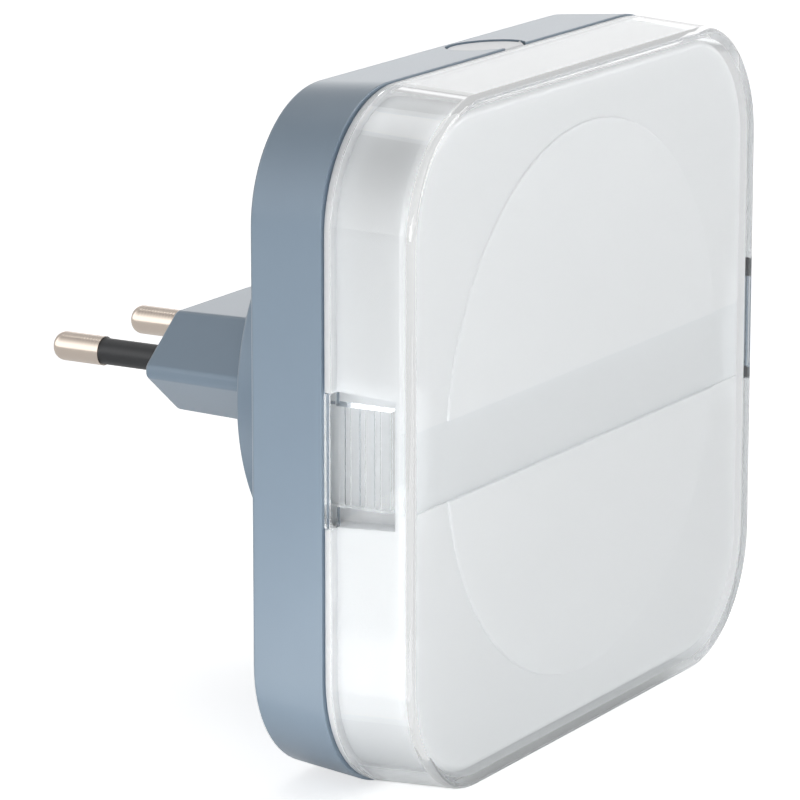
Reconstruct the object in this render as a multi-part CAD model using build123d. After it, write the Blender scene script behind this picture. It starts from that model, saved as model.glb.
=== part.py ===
from build123d import *
from math import cos, radians, sin
import os

os.makedirs("parts", exist_ok=True)

# Plug-in LED night light, millimetres.
# The origin is on the axis of the mains plug, in the plane where the round boss meets the wall
# socket. +Y points into the wall, the lit front faces -Y and +Z is up.

# Body and rear housing
body_width = 94.0
body_height = 90.0
corner_radius = 17.0
housing_depth = 10.9
housing_inset = 0.85        # each side is this much narrower at the back edge
side_wall = 2.0
back_wall = 2.2
back_round = 0.7
seam_gap = 0.35             # shadow line between housing and front
bead_width = 1.0
rib_thickness = 1.2
rib_height = 3.0

# Round boss and mains plug
drum_radius = 26.6
drum_depth = 14.6
drum_wall = 2.2
drum_plate = 2.4
drum_edge = 0.6
drum_seat = 0.8             # depth of the ring seat in the housing's back
seat_clearance = 0.1
plug_width = 34.8
plug_height = 14.6          # at the boss
plug_flat = 19.0            # width of the flat top and bottom of the plug body
plug_side = 1.6             # height of its narrow side faces
plug_length = 20.4
plug_inset = 0.5            # each side is this much narrower at the tip
plug_edge_round = 0.8
pin_spacing = 19.0
pin_diameter = 4.0
pin_length = 19.0
pin_tip_round = 1.5
pin_shank_diameter = 3.4
pin_collar_diameter = 6.0
pin_collar = 1.0
rivet_diameter = 2.4
sleeve_diameter = 3.6
sleeve_bore = 3.0
sleeve_length = 11.2
sleeve_root = 2.0           # how far the sleeve reaches into the plug body
press_clearance = 0.02

# Self-tapping screws
base_boss_radius = 2.9
board_boss_radius = 3.2
post_angle = 29.5           # posts under the reflector, measured from the X axis
screw_diameter = 2.6
screw_head_diameter = 4.8
screw_head = 1.7
screw_grip = 5.0            # length of thread in the plastic
screw_clearance = 0.25

# Circuit board and what it carries
board_side_margin = 6.4     # board beyond the middle of the posts
board_top_margin = 7.0      # between the board and the housing's side wall
board_setback = 0.8         # board's lit side behind the seam
board_thickness = 1.6
board_corner = 3.0
lead_diameter = 0.6
lead_clearance = 0.15
strip_thickness = 0.4
strip_width = 5.0
strip_tab = 2.4
strip_reach = 3.0
led_count = 6
led_circle_radius = 19.0
led_width = 3.5
led_height = 2.8
led_thickness = 0.7
film_cap_width = 13.0
film_cap_height = 6.0
film_cap_depth = 12.0
filter_cap_diameter = 8.0
filter_cap_depth = 11.0
resistor_diameter = 3.4
resistor_length = 9.0
chip_width = 4.9
chip_height = 3.9
chip_depth = 1.5
bridge_width = 4.7
bridge_depth = 2.4
chip_row_margin = 11.0      # rows of chips below the top edge and above the bottom edge
chip_column = 13.5
small_resistor_width = 1.6
small_resistor_height = 3.2
small_resistor_depth = 0.6
small_resistor_pitch = 4.5
small_resistor_count = 5
zener_width = 4.3
zener_height = 2.6
zener_depth = 2.1

# Push button and its switch
button_x = 1.5
button_diameter = 10.0
button_setback = 4.5        # button's axis behind the seam
button_gap = 0.25
button_recess = 0.2         # top of the button below the wall
button_travel = 0.5
button_ear = 2.2
button_flange = 1.0
button_flange_depth = 6.0
button_stem = 4.4
switch_width = 6.2
switch_depth = 4.6
switch_height = 3.6
plunger_diameter = 3.0
plunger_reach = 1.2
plunger_root = 1.0
running_gap = 0.08

# Reflector, opal light box and clear cover
tray_plate = 1.2
tray_wall = 1.2
tray_base_radius = 30.0
ring_radius = 36.5
cover_depth = 12.7
cover_inset = 0.65
cover_wall = 1.6
cover_plate = 1.6
cover_round = 0.9
diffuser_gap = 0.5
diffuser_wall = 1.3
diffuser_edge = 0.8
flange_thickness = 0.9
flange_inset = 0.2
lip_length = 1.8
lip_wall = 1.2
lip_clearance = 0.2
niche_height = 16.9         # at the seam
niche_drop = 0.35           # its middle is this far below the lamp's middle
niche_draft = 0.75          # its top and bottom close in by this much at the front
niche_depth = 3.4
guide_length = 4.0          # wall behind each hook, past the flange
ring_step = 0.3
band_height = 10.4
band_drop = 0.8             # the shallow band runs this far below the middle
band_depth = 0.3
hook_height = 12.8
hook_rise = 0.7             # the hook's middle is this far above the lamp's middle
hook_thickness = 1.5
hook_reach = 4.6
hook_barb = 1.1
hook_catch = 0.8
hook_clearance = 0.2
hook_groove = 0.8
hook_groove_pitch = 2.1
hook_grooves = 3

# Planes along Y, from the wall to the room
back_y = -drum_depth
floor_y = back_y - back_wall
seam_y = back_y - housing_depth
flange_rear_y = seam_y - seam_gap
flange_front_y = flange_rear_y - flange_thickness
cover_front_y = seam_y - cover_depth
diffuser_front_y = cover_front_y + cover_plate + diffuser_gap
board_front_y = seam_y + board_setback
board_rear_y = board_front_y + board_thickness
tray_front_y = board_front_y - tray_plate
pin_tip_y = plug_length + pin_length

# Sizes that follow from the ones above
drum_end_y = back_y - drum_seat
screw_circle = drum_radius - drum_wall - base_boss_radius + 0.4
opening_radius = screw_circle - screw_head_diameter / 2 - 0.9
post_circle = tray_base_radius - tray_wall - screw_head_diameter / 2 - 0.4
post_x = post_circle * cos(radians(post_angle))
post_z = post_circle * sin(radians(post_angle))
board_width = 2 * (post_x + board_side_margin)
board_height = body_height - 2 * (side_wall + board_top_margin)
chip_row_z = board_height / 2 - chip_row_margin
screw_hole_radius = screw_diameter / 2 + screw_clearance
lead_hole_radius = lead_diameter / 2 + lead_clearance
diffuser_shrink = cover_wall + diffuser_gap
niche_front_y = diffuser_front_y + diffuser_wall
button_y = seam_y + button_setback
pin_x = pin_spacing / 2
led_angles = [90 + 360 * i / led_count for i in range(led_count)]
film_cap_place = (0.0, -7.5)
filter_cap_place = (5.5, 5.5)
resistor_place = (-2.0, 18.5)


def facing_room(y):
    """Sketch plane at depth y that looks into the room: sketch x is X, sketch y is Z."""
    return Plane(origin=(0, y, 0), x_dir=(1, 0, 0), z_dir=(0, -1, 0))


def housing_inset_at(y):
    return housing_inset * (y - seam_y) / housing_depth


def cover_inset_at(y):
    return cover_inset * (seam_y - y) / cover_depth


def body_outline(y, inset):
    width = body_width - 2 * inset
    height = body_height - 2 * inset
    radius = max(corner_radius - inset, 1.0)
    return facing_room(y) * RectangleRounded(width, height, radius)


def drafted_block(y_start, y_end, inset_at, shrink):
    """Rounded square block between two depths, with the draft that inset_at gives."""
    first = body_outline(y_start, inset_at(y_start) + shrink)
    last = body_outline(y_end, inset_at(y_end) + shrink)
    return loft([first, last], ruled=True)


def room_cylinder(x, z, y_start, y_end, radius):
    """Round bar along Y, from y_start towards the room to y_end."""
    return extrude(facing_room(y_start) * Pos(x, z) * Circle(radius), amount=y_start - y_end)


def room_box(x, z, y_start, y_end, width, height):
    return extrude(facing_room(y_start) * Pos(x, z) * Rectangle(width, height), amount=y_start - y_end)


def box_between(low, high):
    size = [high[i] - low[i] for i in range(3)]
    middle = [(high[i] + low[i]) / 2 for i in range(3)]
    return Pos(*middle) * Box(*size)


def mirrored_pair(solid):
    return solid + mirror(solid, about=Plane.YZ)


def on_circle(radius, angle):
    point = Vector(radius, 0, 0).rotate(Axis.Z, angle)
    return point.X, point.Y


def base_screw_places():
    return [on_circle(screw_circle, 45 + 90 * i) for i in range(4)]


def board_screw_places():
    return [(x, z) for x in (-post_x, post_x) for z in (-post_z, post_z)]


def lead_places():
    """Where the wired components pass the board: film capacitor, filter capacitor, resistor."""
    film_x, film_z = film_cap_place
    filter_x, filter_z = filter_cap_place
    resistor_x, resistor_z = resistor_place
    film_pitch = film_cap_width / 2 - 1.5
    filter_pitch = filter_cap_diameter / 4
    resistor_pitch = resistor_length / 2 + 1.5
    places = [(film_x + side * film_pitch, film_z) for side in (-1, 1)]
    places += [(filter_x + side * filter_pitch, filter_z) for side in (-1, 1)]
    places += [(resistor_x + side * resistor_pitch, resistor_z) for side in (-1, 1)]
    return places


def lead(place, y_start):
    return room_cylinder(place[0], place[1], y_start, board_front_y + 0.2, lead_diameter / 2)


# Rear housing: drafted tray with round back edge, seat for the boss, posts, ribs and catches

def button_bore(radius, z_low):
    return Pos(button_x, button_y, z_low) * Cylinder(
        radius, body_height / 2 + 1 - z_low, align=(Align.CENTER, Align.CENTER, Align.MIN))


def flange_top_z():
    """Top of the button's ears: just under the lowest point of the wall above them."""
    y_back = button_y + button_flange_depth / 2
    return body_height / 2 - housing_inset_at(y_back) - side_wall - 0.1


def hook_outer_x():
    tip_y = seam_y + hook_reach
    return body_width / 2 - housing_inset_at(tip_y) - side_wall - hook_clearance


def hook_pockets():
    """Recesses in the side walls that the barbs of the clear cover snap into."""
    tip_y = seam_y + hook_reach
    half = hook_height / 2 + 0.4
    low = (hook_outer_x() - 1, tip_y - hook_catch - hook_barb - 0.1, hook_rise - half)
    high = (hook_outer_x() + hook_barb + 0.15, tip_y + 0.4, hook_rise + half)
    return mirrored_pair(box_between(low, high))


def housing_ribs():
    """Low ribs on the floor, from each post out to the walls."""
    reach = max(body_width, body_height)
    foot_y = floor_y + 0.1
    top_y = floor_y - rib_height
    ribs = []
    for x, z in board_screw_places():
        side = 1 if x > 0 else -1
        up = 1 if z > 0 else -1
        ribs.append(room_box(x + side * reach / 2, z, foot_y, top_y, reach, rib_thickness))
        ribs.append(room_box(x, z + up * reach / 2, foot_y, top_y, rib_thickness, reach))
    return Compound(ribs)


def make_rear_housing():
    tray = drafted_block(seam_y, back_y, housing_inset_at, 0)
    tray = fillet(tray.faces().sort_by(Axis.Y)[-1].outer_wire().edges(), back_round)
    cavity = drafted_block(seam_y - 0.01, floor_y, housing_inset_at, side_wall)
    ribs = housing_ribs() & drafted_block(seam_y, floor_y + 0.1, housing_inset_at, side_wall - 0.3)
    bead_outer = drafted_block(seam_y + 0.1, flange_rear_y, housing_inset_at, side_wall - bead_width)
    bead_inner = drafted_block(seam_y + 0.2, flange_rear_y - 0.1, housing_inset_at, side_wall)
    tray = tray - cavity + ribs + (bead_outer - bead_inner)
    for x, z in board_screw_places():
        tray += room_cylinder(x, z, floor_y + 0.1, board_rear_y, board_boss_radius)
    for x, z in board_screw_places():
        tray -= room_cylinder(x, z, board_rear_y + screw_grip + 0.8, board_rear_y - 1, screw_diameter / 2)
    tray -= room_cylinder(0, 0, back_y + 1, drum_end_y, drum_radius + seat_clearance)
    tray -= room_cylinder(0, 0, back_y + 1, floor_y - 1, opening_radius)
    for x, z in base_screw_places():
        tray -= room_cylinder(x, z, back_y + 1, floor_y - 1, screw_hole_radius)
    tray -= hook_pockets()
    pocket_z = flange_top_z() - button_travel - 0.3
    tray -= button_bore(button_diameter / 2 + button_gap, pocket_z)
    return tray


# Round boss with the flat plug body, sloping to narrow side faces

def plug_outline(y, inset):
    half_width = plug_width / 2 - inset
    half_height = plug_height / 2 - inset
    half_flat = plug_flat / 2 - inset
    half_side = plug_side / 2
    right = [(half_flat, -half_height), (half_width, -half_side),
             (half_width, half_side), (half_flat, half_height)]
    left = [(-x, -z) for x, z in right]
    return facing_room(y) * make_face(Polyline(*right, *left, close=True))


def make_plug_body():
    body = loft([plug_outline(plug_length, plug_inset), plug_outline(-0.5, 0)], ruled=True)
    long_edges = body.edges().filter_by(lambda edge: abs(edge.tangent_at(0.5).Y) > 0.9)
    body = fillet(long_edges, plug_edge_round)
    end_face = body.faces().sort_by(Axis.Y)[-1]
    return chamfer(end_face.outer_wire().edges(), plug_edge_round * 0.6)


def make_plug_base():
    drum = room_cylinder(0, 0, 0, drum_end_y, drum_radius)
    drum = chamfer(drum.faces().sort_by(Axis.Y)[-1].edges(), drum_edge)
    drum -= room_cylinder(0, 0, -drum_plate, drum_end_y - 1, drum_radius - drum_wall)
    for x, z in base_screw_places():
        drum += room_cylinder(x, z, -drum_plate + 0.1, drum_end_y, base_boss_radius)
    base = drum + make_plug_body()
    for x, z in base_screw_places():
        base -= room_cylinder(x, z, drum_end_y + screw_grip + 0.8, drum_end_y - 1, screw_diameter / 2)
    for side in (-1, 1):
        base -= room_cylinder(side * pin_x, 0, plug_length + 1, -drum_plate - 1,
                              pin_shank_diameter / 2 + press_clearance)
        base -= room_cylinder(side * pin_x, 0, plug_length + 1, plug_length - sleeve_root,
                              sleeve_diameter / 2 + press_clearance)
    return base


# Pins, their sleeves and the strips that lead from them to the board

def make_plug_pin():
    """Turned pin: rivet, collar, shank in the plug body, neck under the sleeve and bare tip."""
    collar_y = -drum_plate - pin_collar
    neck_start = plug_length - sleeve_root
    neck_end = plug_length + sleeve_length
    tip = room_cylinder(0, 0, pin_tip_y, neck_end, pin_diameter / 2)
    tip = fillet(tip.faces().sort_by(Axis.Y)[-1].edges(), pin_tip_round)
    neck = room_cylinder(0, 0, neck_end + 0.5, neck_start - 0.5, sleeve_bore / 2)
    shank = room_cylinder(0, 0, neck_start, -drum_plate - 0.1, pin_shank_diameter / 2)
    collar = room_cylinder(0, 0, -drum_plate, collar_y, pin_collar_diameter / 2)
    rivet = room_cylinder(0, 0, collar_y + 0.1, collar_y - strip_thickness, rivet_diameter / 2)
    head = room_cylinder(0, 0, collar_y - strip_thickness, collar_y - strip_thickness - 0.6,
                         rivet_diameter / 2 + 0.5)
    return tip + neck + shank + collar + rivet + head


def make_pin_sleeve():
    start = plug_length + sleeve_length
    end = plug_length - sleeve_root
    sleeve = room_cylinder(0, 0, start, end, sleeve_diameter / 2)
    return sleeve - room_cylinder(0, 0, start + 1, end - 1, sleeve_bore / 2 + press_clearance)


def make_contact_strip():
    """Bronze strip of the right-hand pin: tab under the rivet, riser and tab through the board."""
    tab_y = -drum_plate - pin_collar
    riser_x = pin_x + strip_reach
    half = strip_width / 2
    foot = box_between((pin_x - strip_reach, tab_y - strip_thickness, -half),
                       (riser_x + strip_thickness, tab_y, half))
    riser = box_between((riser_x, board_rear_y, -half), (riser_x + strip_thickness, tab_y, half))
    strip = foot + riser
    outer_bend = strip.edges().filter_by(Axis.Z).sort_by(
        lambda edge: abs(edge.center().X - riser_x - strip_thickness) + abs(edge.center().Y - tab_y))[0]
    strip = fillet(outer_bend, strip_thickness * 0.9)
    strip += box_between((riser_x, board_front_y + 0.2, -strip_tab / 2),
                         (riser_x + strip_thickness, board_rear_y + 0.1, strip_tab / 2))
    return strip - room_cylinder(pin_x, 0, tab_y + 1, tab_y - 2, rivet_diameter / 2 + press_clearance)


# Circuit board and its components

def make_circuit_board():
    outline = facing_room(board_rear_y) * RectangleRounded(board_width, board_height, board_corner)
    board = extrude(outline, amount=board_thickness)
    for x, z in board_screw_places():
        board -= room_cylinder(x, z, board_rear_y + 1, board_front_y - 1, screw_hole_radius)
    for x, z in lead_places():
        board -= room_cylinder(x, z, board_rear_y + 1, board_front_y - 1, lead_hole_radius)
    slot_x = pin_x + strip_reach + strip_thickness / 2
    slot = room_box(slot_x, 0, board_rear_y + 1, board_front_y - 1,
                    strip_thickness + 2 * lead_clearance, strip_tab + 2 * lead_clearance)
    return board - mirrored_pair(slot)


def make_leds():
    """Six surface-mounted LEDs on a circle, each with its shallow phosphor window."""
    leds = []
    for angle in led_angles:
        x, z = on_circle(led_circle_radius, angle)
        body = room_box(x, z, board_front_y, board_front_y - led_thickness, led_width, led_height)
        window = room_box(x, z, board_front_y - led_thickness + 0.15, board_front_y - led_thickness - 1,
                          led_width - 0.8, led_height - 0.8)
        leds.append(body - window)
    return Compound(leds)


def make_film_capacitor():
    x, z = film_cap_place
    body = room_box(x, z, board_rear_y + film_cap_depth, board_rear_y, film_cap_width, film_cap_height)
    body = fillet(body.edges().filter_by(Axis.Y), 0.6)
    for place in lead_places()[0:2]:
        body += lead(place, board_rear_y + 0.5)
    return body


def make_filter_capacitor():
    """Electrolytic can with its rolled groove near the leads."""
    x, z = filter_cap_place
    radius = filter_cap_diameter / 2
    can = room_cylinder(x, z, board_rear_y + filter_cap_depth, board_rear_y + 2.2, radius)
    can = chamfer(can.faces().sort_by(Axis.Y)[-1].edges(), 0.4)
    can += room_cylinder(x, z, board_rear_y + 2.3, board_rear_y + 1.3, radius - 0.4)
    can += room_cylinder(x, z, board_rear_y + 1.4, board_rear_y, radius)
    for place in lead_places()[2:4]:
        can += lead(place, board_rear_y + 0.5)
    return can


def make_fusible_resistor():
    """Wire-ended resistor lying along X, with round shoulders and bent leads."""
    x, z = resistor_place
    axis_y = board_rear_y + resistor_diameter / 2 + 0.3
    radius = resistor_diameter / 2
    body = Pos(x, axis_y, z) * Rot(0, 90, 0) * Cylinder(radius, resistor_length)
    body = chamfer(body.edges().filter_by(GeomType.CIRCLE), radius * 0.35)
    first, second = lead_places()[4:6]
    wire = Pos(x, axis_y, z) * Rot(0, 90, 0) * Cylinder(lead_diameter / 2, second[0] - first[0])
    body += wire
    for place in (first, second):
        body += lead(place, axis_y)
    return body


def make_chip(x, z, width, height, depth, legs):
    """Small moulded package on the rear of the board, with gull-wing legs above and below."""
    body = room_box(x, z, board_rear_y + depth, board_rear_y + 0.15, width, height)
    body = chamfer(body.faces().sort_by(Axis.Y)[-1].edges(), 0.25)
    pitch = width / legs
    for i in range(legs):
        leg_x = x - width / 2 + pitch * (i + 0.5)
        body += room_box(leg_x, z, board_rear_y + 0.3, board_rear_y, pitch * 0.35, height + 2.0)
    return body


def make_chip_resistors():
    first_x = -chip_column - small_resistor_pitch * (small_resistor_count - 1) / 2
    return Compound([
        room_box(first_x + small_resistor_pitch * i, -chip_row_z, board_rear_y + small_resistor_depth,
                 board_rear_y, small_resistor_width, small_resistor_height)
        for i in range(small_resistor_count)
    ])


def make_zener_diode():
    body = room_box(chip_column, -chip_row_z, board_rear_y + zener_depth, board_rear_y + 0.1,
                    zener_width, zener_height)
    body = chamfer(body.faces().sort_by(Axis.Y)[-1].edges(), 0.2)
    return body + room_box(chip_column, -chip_row_z, board_rear_y + 0.3, board_rear_y,
                           zener_width + 0.9, zener_height / 2)


# Push button in the top wall and the switch below it

def switch_top_z():
    return board_height / 2 - 0.5


def plunger_top_z():
    return switch_top_z() + plunger_reach


def make_tact_switch():
    low = (button_x - switch_width / 2, board_rear_y, switch_top_z() - switch_height)
    high = (button_x + switch_width / 2, board_rear_y + switch_depth, switch_top_z())
    body = box_between(low, high)
    body = chamfer(body.edges().filter_by(Axis.Z).sort_by(Axis.Y)[-2:], 0.5)
    bore_depth = plunger_root + button_travel + 0.1
    bore = Pos(button_x, button_y, switch_top_z() - bore_depth) * Cylinder(
        plunger_diameter / 2 + running_gap, bore_depth + 1, align=(Align.CENTER, Align.CENTER, Align.MIN))
    return body - bore


def make_switch_plunger():
    length = plunger_reach + plunger_root
    plunger = Pos(button_x, button_y, switch_top_z() - plunger_root) * Cylinder(
        plunger_diameter / 2, length, align=(Align.CENTER, Align.CENTER, Align.MIN))
    return chamfer(plunger.faces().sort_by(Axis.Z)[-1].edges(), 0.3)


def make_push_button():
    """Round cap flush with the wall, two ears that keep it in, and a cross-ribbed stem."""
    top = flange_top_z()
    cap = button_bore(button_diameter / 2, top)
    cap &= drafted_block(seam_y, back_y, housing_inset_at, button_recess)
    ear_x = button_diameter / 2 + button_ear
    half_depth = button_flange_depth / 2
    ears = box_between((button_x - ear_x, button_y - half_depth, top - button_flange),
                       (button_x + ear_x, button_y + half_depth, top + 0.01))
    ears = fillet(ears.edges().filter_by(Axis.Z), 1.0)
    stem_length = top - plunger_top_z()
    half = button_stem / 2
    stem = Pos(button_x, button_y, top - stem_length / 2) * (
        Box(button_stem, 1.2, stem_length) + Box(1.2, button_stem, stem_length))
    pad = Pos(button_x, button_y, plunger_top_z()) * Cylinder(
        half, 0.8, align=(Align.CENTER, Align.CENTER, Align.MIN))
    return cap + ears + stem + pad


# Reflector, opal light box and clear cover

def make_reflector_tray():
    """White plate on the board with an LED window each, and a conical wall around them."""
    cone_end_y = diffuser_front_y + diffuser_wall + 0.2
    plate = room_cylinder(0, 0, board_front_y, tray_front_y, tray_base_radius)
    base = facing_room(board_front_y) * Circle(tray_base_radius)
    rim = facing_room(cone_end_y) * Circle(ring_radius)
    inner_base = facing_room(board_front_y + 0.01) * Circle(tray_base_radius - tray_wall)
    inner_rim = facing_room(cone_end_y - 0.01) * Circle(ring_radius - tray_wall)
    tray = plate + (loft([base, rim], ruled=True) - loft([inner_base, inner_rim], ruled=True))
    for x, z in board_screw_places():
        tray -= room_cylinder(x, z, board_front_y + 1, tray_front_y - 1, screw_hole_radius)
    for angle in led_angles:
        x, z = on_circle(led_circle_radius, angle)
        small = facing_room(board_front_y + 0.01) * Pos(x, z) * Rectangle(led_width + 0.8, led_height + 0.8)
        large = facing_room(tray_front_y - 0.01) * Pos(x, z) * Rectangle(led_width + 2.4, led_height + 2.4)
        tray -= loft([small, large], ruled=True)
    return tray


def niches(extra):
    """The two side recesses behind the light box's front plate, widened by extra on their inner sides."""
    middle = Pos(body_width / 2, -niche_drop)
    width = 2 * (diffuser_shrink + niche_depth + extra)
    rear_height = niche_height + 2 * extra
    rear = facing_room(seam_y) * middle * Rectangle(width, rear_height)
    front = facing_room(niche_front_y) * middle * Rectangle(width, rear_height - 2 * niche_draft)
    return mirrored_pair(loft([rear, front], ruled=True))


def make_opal_diffuser():
    """White light box: drafted walls, flange at the seam, niches and guides for the hooks, shallow front."""
    box = drafted_block(flange_front_y + 0.1, diffuser_front_y, cover_inset_at, diffuser_shrink)
    box = chamfer(box.faces().sort_by(Axis.Y)[0].outer_wire().edges(), diffuser_edge)
    field = room_cylinder(0, 0, diffuser_front_y + 0.1, diffuser_front_y - ring_step, ring_radius)
    band = room_box(0, -band_drop, diffuser_front_y + band_depth, cover_front_y, body_width, band_height)
    flange = drafted_block(flange_rear_y, flange_front_y, cover_inset_at, flange_inset)
    inside_front = diffuser_front_y + diffuser_wall
    inside = drafted_block(flange_rear_y + 0.1, inside_front, cover_inset_at,
                           diffuser_shrink + diffuser_wall)
    lip_outer = drafted_block(seam_y + lip_length, flange_rear_y - 0.1, housing_inset_at,
                              side_wall + lip_clearance)
    lip_inner = drafted_block(seam_y + lip_length + 0.1, flange_rear_y - 0.2, housing_inset_at,
                              side_wall + lip_clearance + lip_wall)
    lip = lip_outer - lip_inner
    lip -= niches(0).moved(Location((0, lip_length, 0)))
    half_button = button_diameter / 2 + button_ear + 1
    lip -= box_between((button_x - half_button, seam_y - seam_gap, 0),
                       (button_x + half_button, back_y, body_height))
    shell = (box + field - band) + flange - (inside - niches(diffuser_wall)) - niches(0)
    guide_x = body_width / 2 - diffuser_shrink - niche_depth
    half_guide = niche_height / 2 + diffuser_wall
    guide = box_between((guide_x - diffuser_wall, flange_rear_y - 0.1, -half_guide),
                        (guide_x, flange_rear_y + guide_length, half_guide))
    guides = mirrored_pair(Pos(0, 0, -niche_drop) * guide)
    return shell + lip + guides


def make_snap_hook():
    """Right-hand hook of the clear cover: grooved block on the wall, leg and barb."""
    outer_x = hook_outer_x()
    inner_x = outer_x - hook_thickness
    half = hook_height / 2
    tip_y = seam_y + hook_reach
    wall_x = body_width / 2 - cover_inset - cover_wall + 0.2
    block = box_between((inner_x, niche_front_y + 0.3, -half), (wall_x + 0.6, flange_rear_y, half))
    leg = box_between((inner_x, flange_rear_y - 0.1, -half), (outer_x, tip_y, half))
    barb = make_face(Polyline(
        (outer_x - 0.2, tip_y),
        (outer_x, tip_y),
        (outer_x + hook_barb, tip_y - hook_barb),
        (outer_x + hook_barb, tip_y - hook_barb - hook_catch),
        (outer_x - 0.2, tip_y - hook_barb - hook_catch),
        close=True))
    hook = block + leg + extrude(Pos(0, 0, -half) * barb, amount=hook_height)
    for i in range(hook_grooves):
        groove_y = flange_rear_y - hook_groove_pitch * (i + 0.7)
        hook -= box_between((inner_x - 1, groove_y - hook_groove, -half),
                            (inner_x + 0.4, groove_y, half))
    return hook


def make_clear_cover():
    """Clear moulded cover: drafted wall, thick front plate, two snap hooks through the flange."""
    shell = drafted_block(flange_front_y, cover_front_y, cover_inset_at, 0)
    shell = fillet(shell.faces().sort_by(Axis.Y)[0].outer_wire().edges(), cover_round)
    inside_front = cover_front_y + cover_plate
    shell -= drafted_block(flange_front_y + 0.1, inside_front, cover_inset_at, cover_wall)
    skirt = drafted_block(flange_rear_y, flange_front_y - 0.1, cover_inset_at, 0)
    skirt -= drafted_block(flange_rear_y + 0.1, flange_front_y - 0.2, cover_inset_at, cover_wall)
    half_skirt = niche_height / 2 - 2 * hook_clearance
    skirt_ends = box_between((0, cover_front_y, -half_skirt), (body_width, back_y, half_skirt))
    skirt &= mirrored_pair(Pos(0, 0, -niche_drop) * skirt_ends)
    hooks = mirrored_pair(Pos(0, 0, hook_rise) * make_snap_hook())
    hooks &= drafted_block(back_y, cover_front_y + 0.5, cover_inset_at, 0.3)
    return shell + skirt + hooks


# Screws

def make_screw(x, z, head_y, length):
    """Pan-head self-tapping screw that points towards the wall."""
    head = room_cylinder(x, z, head_y, head_y - screw_head, screw_head_diameter / 2)
    head = chamfer(head.faces().sort_by(Axis.Y)[0].edges(), screw_head * 0.4)
    return head + room_cylinder(x, z, head_y + length, head_y - 0.1, screw_diameter / 2 - press_clearance)


def make_base_screws():
    length = (drum_end_y - floor_y) + screw_grip
    return Compound([make_screw(x, z, floor_y, length) for x, z in base_screw_places()])


def make_board_screws():
    length = tray_plate + board_thickness + screw_grip
    return Compound([make_screw(x, z, tray_front_y, length) for x, z in board_screw_places()])


right_pin_place = Location((pin_x, 0, 0))
left_pin_place = Location((-pin_x, 0, 0))

nodes = {
    "rear_housing": make_rear_housing(),
    "plug_base": make_plug_base(),
    "plug_pin_left": make_plug_pin().moved(left_pin_place),
    "plug_pin_right": make_plug_pin().moved(right_pin_place),
    "pin_sleeve_left": make_pin_sleeve().moved(left_pin_place),
    "pin_sleeve_right": make_pin_sleeve().moved(right_pin_place),
    "contact_strip_left": mirror(make_contact_strip(), about=Plane.YZ),
    "contact_strip_right": make_contact_strip(),
    "circuit_board": make_circuit_board(),
    "leds": make_leds(),
    "film_capacitor": make_film_capacitor(),
    "filter_capacitor": make_filter_capacitor(),
    "bridge_rectifier": make_chip(-chip_column, chip_row_z, bridge_width, chip_height, bridge_depth, 2),
    "fusible_resistor": make_fusible_resistor(),
    "control_chip": make_chip(chip_column, chip_row_z, chip_width, chip_height, chip_depth, 4),
    "chip_resistors": make_chip_resistors(),
    "zener_diode": make_zener_diode(),
    "tact_switch": make_tact_switch(),
    "switch_plunger": make_switch_plunger(),
    "push_button": make_push_button(),
    "reflector_tray": make_reflector_tray(),
    "opal_diffuser": make_opal_diffuser(),
    "clear_cover": make_clear_cover(),
    "base_screws": make_base_screws(),
    "board_screws": make_board_screws(),
}

for name, solid in nodes.items():
    export_step(solid, f"parts/{name}.step")
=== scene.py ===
from math import cos, pi, radians, sin

import bmesh
import bpy
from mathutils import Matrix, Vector


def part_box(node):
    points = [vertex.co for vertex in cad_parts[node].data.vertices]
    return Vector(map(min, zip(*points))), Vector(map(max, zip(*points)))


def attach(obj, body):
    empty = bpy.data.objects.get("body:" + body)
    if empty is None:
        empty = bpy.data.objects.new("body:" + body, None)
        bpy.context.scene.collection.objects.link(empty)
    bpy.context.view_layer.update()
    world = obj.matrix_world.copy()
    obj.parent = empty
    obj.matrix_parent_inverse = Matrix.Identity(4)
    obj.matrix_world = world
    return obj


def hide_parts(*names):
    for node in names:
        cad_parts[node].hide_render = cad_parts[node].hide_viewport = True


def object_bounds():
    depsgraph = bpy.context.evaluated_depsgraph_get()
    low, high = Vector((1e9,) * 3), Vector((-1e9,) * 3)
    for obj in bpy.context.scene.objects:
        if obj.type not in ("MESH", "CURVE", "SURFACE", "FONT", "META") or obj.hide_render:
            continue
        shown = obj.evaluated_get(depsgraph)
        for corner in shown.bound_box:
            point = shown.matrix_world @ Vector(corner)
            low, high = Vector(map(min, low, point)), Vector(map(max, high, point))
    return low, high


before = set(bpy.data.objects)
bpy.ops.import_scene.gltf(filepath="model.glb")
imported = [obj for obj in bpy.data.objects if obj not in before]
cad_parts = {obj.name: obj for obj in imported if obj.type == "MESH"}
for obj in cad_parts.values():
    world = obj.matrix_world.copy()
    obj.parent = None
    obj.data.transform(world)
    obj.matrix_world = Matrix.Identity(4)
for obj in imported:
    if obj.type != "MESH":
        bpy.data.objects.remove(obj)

cad_box = [list(corner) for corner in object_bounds()]


# ---------------------------------------------------------------- slate housing
# Rear tray that the whole lamp hangs on, with a round seat for the plug's boss and a thin bead
# that keys into the front. Slate-blue ABS, one shot from a two-part mould: the cavity gives the
# outside its draft and round edges, and the core leaves the posts and ribs.
MM = 0.001
X, Y, Z = 0, 1, 2


def mode(name):
    bpy.ops.object.mode_set(mode=name)


def choose(kind, keep):
    """In edit mode, selects only the edges or faces for which keep holds."""
    bpy.ops.mesh.select_mode(type=kind)
    bpy.ops.mesh.select_all(action="DESELECT")
    mesh = bmesh.from_edit_mesh(bpy.context.object.data)
    for part in {"EDGE": mesh.edges, "FACE": mesh.faces}[kind]:
        part.select_set(bool(keep(part)))
    mesh.select_flush_mode()
    bmesh.update_edit_mesh(bpy.context.object.data)


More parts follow.
